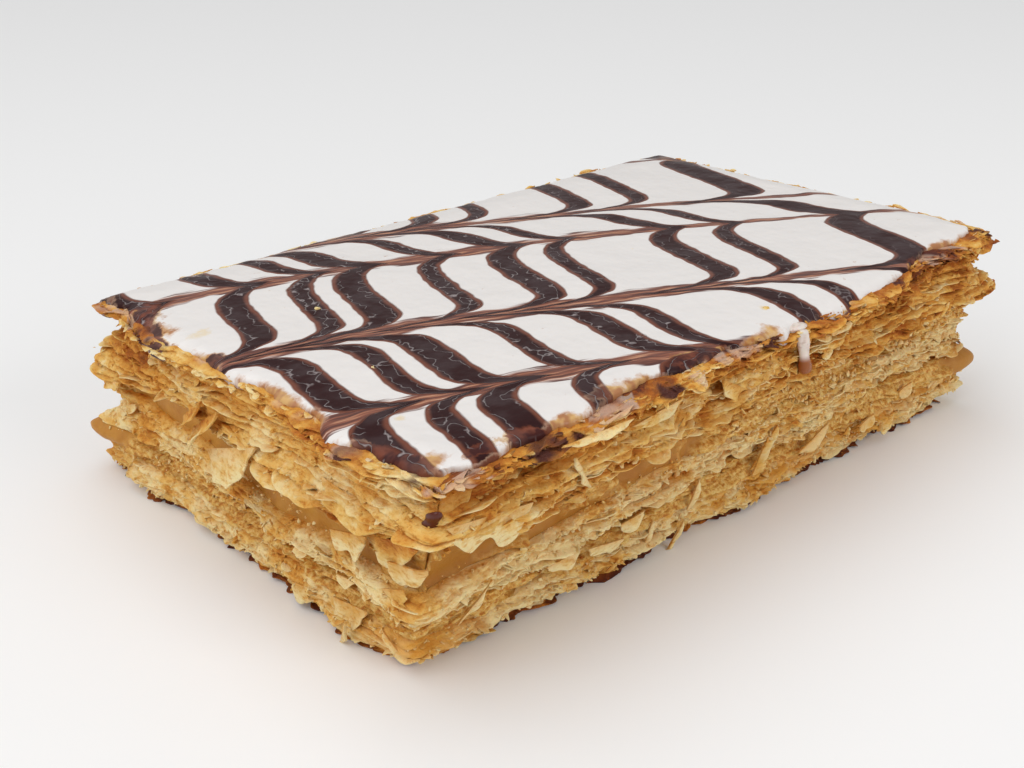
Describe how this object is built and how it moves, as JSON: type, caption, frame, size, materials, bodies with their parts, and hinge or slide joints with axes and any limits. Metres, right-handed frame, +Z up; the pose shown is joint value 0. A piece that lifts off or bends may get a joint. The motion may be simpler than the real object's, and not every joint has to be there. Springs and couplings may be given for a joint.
{
  "type": "mille feuille slice",
  "caption": "Oblong slice of layered puff pastry and pastry cream with a feathered sugar icing lid, for a plate, tray or cake counter.",
  "frame": {"origin": "middle of the box around the slice, on the plane it rests on", "axes": "+X along the long side, +Y along the short side, +Z up through the layers to the icing"},
  "size_m": [0.1278, 0.0832, 0.0314],
  "materials": {
    "pale_pastry": "matte",
    "pastry_cream": "satin",
    "baked_pastry": "matte",
    "icing": "gloss"
  },
  "bodies": {
    "root": {"pastry_bottom": "pale_pastry", "cream_lower": "pastry_cream", "pastry_middle": "pale_pastry", "cream_upper": "pastry_cream", "pastry_top": "baked_pastry", "icing": "icing"}
  },
  "joints": []
}
